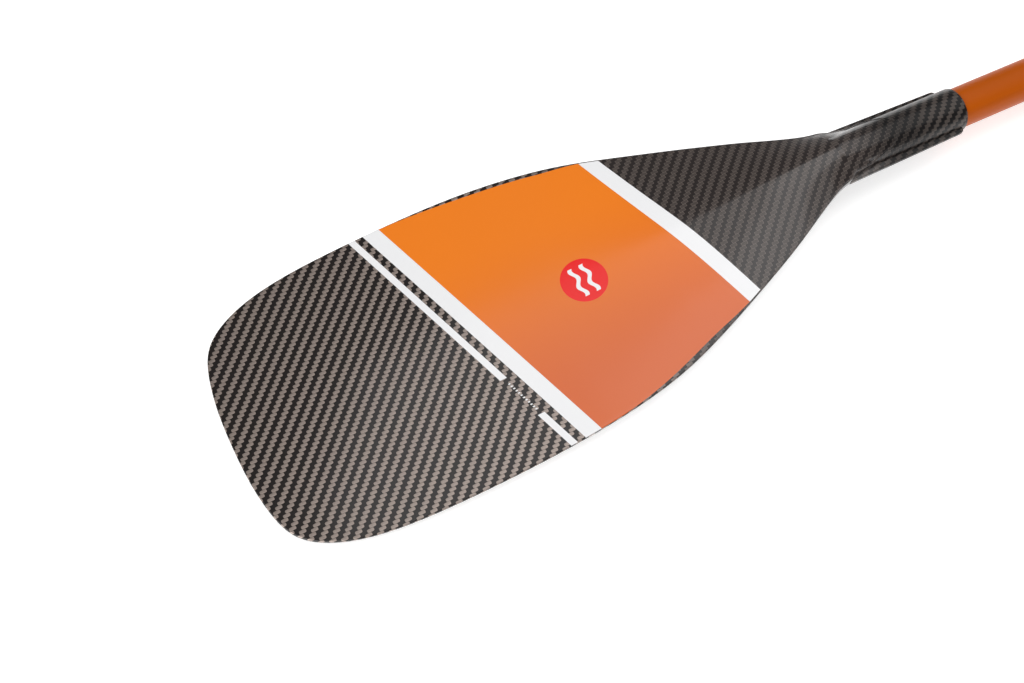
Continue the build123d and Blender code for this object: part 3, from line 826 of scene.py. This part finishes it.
def carbon_plain():
    n = Nodes("carbon_plain")
    u, v = n.uv("Cloth")
    colour, height, light, coat = carbon_colour(n, u, v, 0.80)
    n.set(Base_Color=colour, Metallic=n.math("MULTIPLY", light, FIBRE_GLOSS),
          Roughness=FIBRE_ROUGHNESS, Specular_IOR_Level=0.15,
          Coat_Weight=coat, Coat_Roughness=COAT_ROUGHNESS, Normal=n.bump(height, CLOTH_DEPTH, 0.6))
    return n.material


# print on the blade: distances from the root, on lines that slant across it
BAND_SLOPE = math.tan(math.radians(17.9))
NECK_BAND = (0.1196, 0.1315)
PANEL = (0.1315, 0.2710)
TIP_BAND = (0.2710, 0.2830)
STRIPE = (0.2890, 0.2938)
STRIPE_GAP = (-0.0712, -0.0388)          # the stripe gives way to a row of ticks between these
TICKS = (0.2904, 0.2918)
TICKS_REACH = (-0.0675, -0.0425)
TICK_PITCH = 0.0021
PRINT_EDGE = 0.0004                      # softness of a printed edge across the blade
PRINT_WHITE = (0.915, 0.915, 0.925)
BADGE_PLACE = 0.1987
BADGE_RADIUS = 0.01620
BADGE_RED = (0.860, 0.0020, 0.0020)
WAVE_LENGTH = 0.0125
WAVE_HEIGHT = 0.0014
WAVE_OFFSET = 0.0042                     # each wave line lies this far from the badge's middle
WAVE_HALF = 0.00165
WAVE_REACH = 0.0114


def band(n, along, reach):
    """1 between two distances from the root, measured on lines that slant as the bands do."""
    low, high = reach
    soft = 0.00012
    above = n.step(along, low - soft, low + soft)
    below = n.step(along, high + soft, high - soft)
    return n.math("MULTIPLY", above, below)


def between(n, y, reach):
    """1 between two places across the blade."""
    low, high = reach
    rise = n.step(y, low, low + PRINT_EDGE)
    return n.math("MULTIPLY", rise, n.step(y, high, high - PRINT_EDGE))


def badge(n, d, y):
    """Plain disc with two wave lines: 1 inside the disc, and 1 on the lines."""
    bd = n.math("SUBTRACT", d, BADGE_PLACE)
    across = n.math("MULTIPLY", y, y)
    r = n.math("SQRT", n.math("ADD", n.math("MULTIPLY", bd, bd), across))
    disc = n.step(r, BADGE_RADIUS, BADGE_RADIUS - 0.00024)
    wave = n.math("SINE", n.math("MULTIPLY", y, 2 * math.pi / WAVE_LENGTH))
    line = n.math("MULTIPLY_ADD", wave, WAVE_HEIGHT, bd)

    def one_line(offset):
        near = n.math("ABSOLUTE", n.math("ADD", line, offset))
        return n.step(near, WAVE_HALF, WAVE_HALF - 0.00025)

    ends = n.step(n.math("ABSOLUTE", y), WAVE_REACH, WAVE_REACH - 0.0003)
    both = n.math("MAXIMUM", one_line(-WAVE_OFFSET), one_line(WAVE_OFFSET))
    lines = n.math("MULTIPLY", both, ends)
    return disc, n.math("MULTIPLY", lines, disc)


def carbon_printed():
    n = Nodes("carbon_printed")
    u, v = n.uv("Cloth")
    d, y = n.uv("Plan")
    margin = n.new("ShaderNodeAttribute", attribute_name="Margin").outputs["Fac"]
    slant = n.math("MULTIPLY_ADD", y, -BAND_SLOPE, d)
    colour, height, light, coat = carbon_colour(n, u, v, 1.0)
    inside = n.step(margin, -0.0001, 0.0001)
    panel = n.math("MULTIPLY", band(n, slant, PANEL), inside)
    white = n.math("MAXIMUM", band(n, slant, TIP_BAND), band(n, slant, NECK_BAND))
    ticks = n.math("LESS_THAN", n.math("FRACT", n.math("DIVIDE", y, TICK_PITCH)), 0.42)
    mark = n.math("MULTIPLY", ticks, band(n, slant, TICKS))
    mark = n.math("MULTIPLY", mark, between(n, y, TICKS_REACH))
    thin = n.mix(between(n, y, STRIPE_GAP), band(n, slant, STRIPE), mark)
    white = n.math("MULTIPLY", n.math("MAXIMUM", white, thin), inside)
    cloud = n.noise(n.place(), 14.0, 3.0)
    # painted shade and painted reflection: the orange is painted brighter towards +y and duller, darker
    # and bluer towards -y, as the light falls
    across = n.step(y, -0.075, 0.060)
    orange = n.blend(across, (0.700, 0.130, 0.022), (0.920, 0.222, 0.0060))
    orange = n.blend(n.math("MULTIPLY", cloud, 0.10), orange, (0.700, 0.135, 0.010))
    colour = n.blend(panel, colour, orange)
    colour = n.blend(white, colour, PRINT_WHITE)
    disc, lines = badge(n, d, y)
    colour = n.blend(disc, colour, BADGE_RED)
    colour = n.blend(lines, colour, PRINT_WHITE)
    print_mask = n.math("MAXIMUM", n.math("MAXIMUM", panel, white), disc)
    bare = n.math("SUBTRACT", 1.0, print_mask)
    relief = n.math("MULTIPLY", height, n.math("MULTIPLY_ADD", bare, 0.92, 0.08))
    gloss = n.math("MULTIPLY", n.math("MULTIPLY", light, bare), FIBRE_GLOSS)
    n.set(Base_Color=colour, Metallic=gloss, Roughness=FIBRE_ROUGHNESS, Specular_IOR_Level=0.15,
          Coat_Weight=coat, Coat_Roughness=COAT_ROUGHNESS, Normal=n.bump(relief, CLOTH_DEPTH, 0.6))
    return n.material


def orange_lacquer():
    n = Nodes("orange_lacquer")
    place = n.place()
    cloud = n.noise(place, 9.0, 3.0)
    colour = n.blend(cloud, (0.440, 0.079, 0.0008), (0.480, 0.089, 0.0012))
    fine = n.noise(place, 1400.0, 1.0)
    n.set(Base_Color=colour, Roughness=n.math("MULTIPLY_ADD", fine, 0.10, 0.34),
          Specular_IOR_Level=0.12, Normal=n.bump(fine, 0.00002, 0.25))
    return n.material


TUBE_RADIUS = 0.0128
TUBE_TOWS = 40                           # tows round the upper shaft, whole repeats of the weave
MARKS = (0.600, 1.150)                   # the length marks run between these places along the shaft
MARK_WIDTH = 0.0008
SHORT_MARK = (0.010, 0.0022)             # pitch along the shaft, half-length round it
LONG_MARK = (0.050, 0.0048)


def tube_place(n):
    """Place along the shaft, and the distance round it, of a point of a tube."""
    place = n.place()

    def along(direction, offset):
        node = n.new("ShaderNodeVectorMath", operation="DOT_PRODUCT")
        n.feed(node.inputs[0], place)
        n.feed(node.inputs[1], tuple(direction))
        return n.math("SUBTRACT", node.outputs["Value"], offset)

    x = along(AXIS, ROOT.dot(AXIS))
    turn = n.math("ARCTAN2", along(SIDE, ROOT.dot(SIDE)), along(UP, ROOT.dot(UP)))
    return x, turn


def carbon_tube():
    """Satin carbon tube with length marks in white along its upper side."""
    n = Nodes("carbon_tube")
    x, turn = tube_place(n)
    v = n.math("MULTIPLY", turn, TUBE_TOWS * TOW / (2 * math.pi))
    over, body, height = twill(n, x, v)
    # painted sheen: the tows along the shaft get a light colour, as if they catch the light
    light = n.math("MULTIPLY", n.math("MULTIPLY", over, body), 0.45)
    colour = n.blend(light, (0.0120, 0.0105, 0.0100), (0.150, 0.140, 0.135))
    arc = n.math("MULTIPLY", turn, TUBE_RADIUS)

    def ticks(pitch, reach):
        place = n.math("FRACT", n.math("DIVIDE", x, pitch))
        away = n.math("ABSOLUTE", n.math("SUBTRACT", place, 0.5))
        line = n.math("LESS_THAN", away, 0.5 * MARK_WIDTH / pitch)
        return n.math("MULTIPLY", line, n.math("LESS_THAN", n.math("ABSOLUTE", arc), reach))

    first, last = MARKS
    marked = n.math("MULTIPLY", n.step(x, first - 0.0001, first + 0.0001),
                    n.step(x, last + 0.0001, last - 0.0001))
    marks = n.math("MULTIPLY", n.math("MAXIMUM", ticks(*SHORT_MARK), ticks(*LONG_MARK)), marked)
    n.set(Base_Color=n.blend(marks, colour, (0.80, 0.80, 0.80)),
          Metallic=n.math("MULTIPLY", light, 0.8), Roughness=0.42,
          Coat_Weight=0.6, Coat_Roughness=0.22, Normal=n.bump(height, 0.00006, 0.4))
    return n.material


def moulded(name, colour, roughness, grain=1800.0, depth=0.00004):
    """Moulded plastic with a fine spark-eroded grain and slightly uneven colour."""
    n = Nodes(name)
    place = n.place()
    fine = n.noise(place, grain, 2.0)
    cloud = n.noise(place, 30.0, 2.0)
    dark = tuple(c * 0.85 for c in colour)
    n.set(Base_Color=n.blend(cloud, dark, colour),
          Roughness=n.math("MULTIPLY_ADD", fine, 0.14, roughness - 0.07),
          Normal=n.bump(fine, depth, 0.5))
    return n.material


def steel():
    n = Nodes("steel")
    fine = n.noise(n.place(), 2500.0, 2.0)
    n.set(Base_Color=n.blend(fine, (0.46, 0.45, 0.44), (0.62, 0.61, 0.60)), Metallic=1.0,
          Roughness=n.math("MULTIPLY_ADD", fine, 0.12, 0.22), Normal=n.bump(fine, 0.00001, 0.3))
    return n.material


def foam():
    n = Nodes("foam")
    cells = n.noise(n.place(), 1200.0, 3.0)
    n.set(Base_Color=n.blend(cells, (0.62, 0.57, 0.42), (0.80, 0.76, 0.60)), Roughness=0.9,
          Normal=n.bump(cells, 0.0002, 0.6))
    return n.material


MATERIALS = {
    "carbon_printed": carbon_printed(),
    "carbon_plain": carbon_plain(),
    "foam": foam(),
    "shaft_orange": orange_lacquer(),
    "carbon_tube": carbon_tube(),
    "nylon_black": moulded("nylon_black", (0.022, 0.022, 0.023), 0.46),
    "lever_black": moulded("lever_black", (0.016, 0.016, 0.017), 0.38),
    "acetal": moulded("acetal", (0.030, 0.030, 0.032), 0.30),
    "steel": steel(),
    "grip_plastic": moulded("grip_plastic", (0.020, 0.020, 0.021), 0.42),
    "grip_rubber": moulded("grip_rubber", (0.030, 0.030, 0.031), 0.72, 900.0, 0.0001),
}


def dress(piece, slot):
    piece.data.materials.clear()
    piece.data.materials.append(MATERIALS[slot])


dress(front_shell, "carbon_printed")
dress(back_shell, "carbon_plain")
dress(grip_moulding, "grip_plastic")
dress(grip_rubber_cap, "grip_rubber")
for part in frame["record"]["subparts"]:
    dress(frame["nodes"][part["node"]], part["material_slot"])


# ---------------------------------------------------------------- camera, floor and light
# camera, in the shaft frame
CAMERA_PLACE = (-0.47894, -0.34383, 0.72210)
CAMERA_FORWARD = (0.25883, 0.38632, -0.88530)
CAMERA_UP = (0.38399, 0.79985, 0.46130)
LENS = 45.70
FLOOR_HALF = 60.0
FLOOR_Z = -0.0005                        # just under the paddle
WORLD_LIGHT = 0.16
SOFTBOX_HEIGHT = 1.80
SOFTBOX_SIZE = (1.50, 1.20)
SOFTBOX_POWER = 5.2
SOFTBOX_EDGES = (0.64, 0.74, 0.84)       # their +y edges, stepped so that the reflection fades out
SUN_SPREAD = 60.0


def look(forward, up):
    """Turn of a camera that looks along one direction with another one upwards."""
    back = -forward.normalized()
    right = up.cross(back).normalized()
    return Matrix((right, back.cross(right), back)).transposed()


def shaft_direction(x, y, z):
    return AXIS * x + SIDE * y + UP * z


def make_camera():
    data = bpy.data.cameras.new("camera")
    data.sensor_width = 36.0
    data.lens = LENS
    data.clip_start = 0.01
    camera = bpy.data.objects.new("camera", data)
    bpy.context.scene.collection.objects.link(camera)
    turn = look(shaft_direction(*CAMERA_FORWARD), shaft_direction(*CAMERA_UP))
    camera.matrix_world = Matrix.Translation(at(*CAMERA_PLACE)) @ turn.to_4x4()
    bpy.context.scene.camera = camera


def make_floor():
    n = Nodes("floor")
    fine = n.noise(n.place(), 3.0, 2.0)
    n.set(Base_Color=n.blend(fine, (0.79, 0.79, 0.79), (0.81, 0.81, 0.81)), Roughness=0.8,
          Emission_Color=(1.0, 1.0, 1.0, 1.0), Emission_Strength=0.6)
    half = FLOOR_HALF
    corners = [(-half, -half, 0.0), (half, -half, 0.0), (half, half, 0.0), (-half, half, 0.0)]
    mesh = bpy.data.meshes.new("floor")
    mesh.from_pydata(corners, [], [(0, 1, 2, 3)])
    mesh.materials.append(n.material)
    floor = bpy.data.objects.new("floor", mesh)
    floor.location.z = FLOOR_Z
    bpy.context.scene.collection.objects.link(floor)


def softbox(name, place, aim, size, power):
    data = bpy.data.lights.new(name, "AREA")
    data.shape = "RECTANGLE"
    data.size, data.size_y = size
    data.energy = power
    lamp = bpy.data.objects.new(name, data)
    lamp.location = place
    lamp.rotation_euler = (Vector(aim) - Vector(place)).to_track_quat("-Z", "Y").to_euler()
    bpy.context.scene.collection.objects.link(lamp)


def sunlamp(name, towards, strength, spread):
    """Broad light from one direction."""
    data = bpy.data.lights.new(name, "SUN")
    data.energy = strength
    data.angle = math.radians(spread)
    lamp = bpy.data.objects.new(name, data)
    lamp.rotation_euler = (-Vector(towards)).to_track_quat("-Z", "Y").to_euler()
    bpy.context.scene.collection.objects.link(lamp)


def make_light():
    world = bpy.data.worlds.new("studio")
    world.use_nodes = True
    background = world.node_tree.nodes["Background"]
    background.inputs["Color"].default_value = (1.0, 1.0, 1.0, 1.0)
    background.inputs["Strength"].default_value = WORLD_LIGHT
    bpy.context.scene.world = world
    for step, edge in enumerate(SOFTBOX_EDGES):
        place = (-0.25 + 0.08 * step, edge - SOFTBOX_SIZE[1] / 2, SOFTBOX_HEIGHT)
        softbox(f"overhead_{step}", place, (*place[:2], 0.0), SOFTBOX_SIZE, SOFTBOX_POWER)
    sunlamp("left", (-0.70, -0.22, 0.66), 1.85, SUN_SPREAD)
    sunlamp("right", (0.62, 0.05, 0.78), 0.55, SUN_SPREAD)


make_camera()
make_floor()
make_light()
bpy.context.scene.view_settings.view_transform = "Standard"
